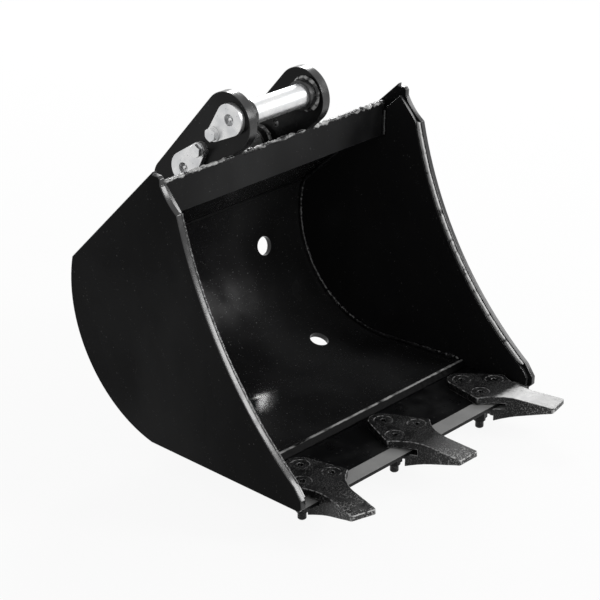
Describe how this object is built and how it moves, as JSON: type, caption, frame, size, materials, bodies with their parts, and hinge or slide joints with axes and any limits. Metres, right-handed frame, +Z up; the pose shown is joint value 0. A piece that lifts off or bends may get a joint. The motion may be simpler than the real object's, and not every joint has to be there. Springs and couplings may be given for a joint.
{
  "type": "backhoe bucket",
  "caption": "Steel digging bucket for a small tractor backhoe: leaning side plates, rolled back, bolted teeth, and ears whose pins draw out sideways.",
  "frame": {"origin": "middle of the dipper pin, on its axis", "axes": "+X along the pins, to the right when looking from the mouth to the back; +Y from the mouth to the back; +Z up, with the flat floor level; the teeth point to -Y"},
  "size_m": [0.5002, 0.5086, 0.4956],
  "materials": {
    "black_paint": "gloss black paint with dust and scratches",
    "weld_paint": "gloss black paint over rough weld beads",
    "tooth_paint": "black paint, worn to grey at the tips",
    "edge_steel": "black paint, bare on the ground slope",
    "zinc_plate": "bright zinc plate"
  },
  "bodies": {
    "bucket": {"side_plate_left": "black_paint", "side_plate_right": "black_paint", "side_wall_left": "black_paint", "side_wall_right": "black_paint", "top_panel": "black_paint", "back_and_floor": "black_paint", "cross_beam": "black_paint", "cutting_edge": "edge_steel", "ear_left": "black_paint", "ear_right": "black_paint", "dipper_boss_left": "black_paint", "dipper_boss_right": "black_paint", "link_boss_left": "black_paint", "link_boss_right": "black_paint", "tooth_left": "tooth_paint", "tooth_middle": "tooth_paint", "tooth_right": "tooth_paint", "tooth_bolts": "black_paint", "tooth_washers": "black_paint", "tooth_nuts": "black_paint", "weld_mouth_left": "weld_paint", "weld_mouth_right": "weld_paint", "weld_corner_left": "weld_paint", "weld_corner_right": "weld_paint", "weld_back_left": "weld_paint", "weld_back_right": "weld_paint", "weld_beam_top": "weld_paint", "weld_beam_ends": "weld_paint", "weld_top_rear": "weld_paint", "weld_floor_seam": "weld_paint", "weld_ear_left": "weld_paint", "weld_ear_right": "weld_paint", "weld_bosses": "weld_paint"},
    "dipper_pin_set": {"dipper_pin": "zinc_plate", "dipper_flag": "zinc_plate", "dipper_nipple": "zinc_plate"},
    "dipper_keeper": {"dipper_keeper_bolt": "zinc_plate", "dipper_keeper_washer": "zinc_plate"},
    "link_pin_set": {"link_pin": "zinc_plate", "link_flag": "zinc_plate", "link_nipple": "zinc_plate"},
    "link_keeper": {"link_keeper_bolt": "zinc_plate", "link_keeper_washer": "zinc_plate"}
  },
  "joints": [
    {"name": "dipper_pin_slide", "type": "slide", "parent": "bucket", "child": "dipper_pin_set", "axis": [-1, 0, 0], "range_m": [0, 0.27]},
    {"name": "dipper_keeper_slide", "type": "slide", "parent": "dipper_pin_set", "child": "dipper_keeper", "axis": [-1, 0, 0], "range_m": [0, 0.025]},
    {"name": "link_pin_slide", "type": "slide", "parent": "bucket", "child": "link_pin_set", "axis": [-1, 0, 0], "range_m": [0, 0.27]},
    {"name": "link_keeper_slide", "type": "slide", "parent": "link_pin_set", "child": "link_keeper", "axis": [-1, 0, 0], "range_m": [0, 0.025]}
  ]
}
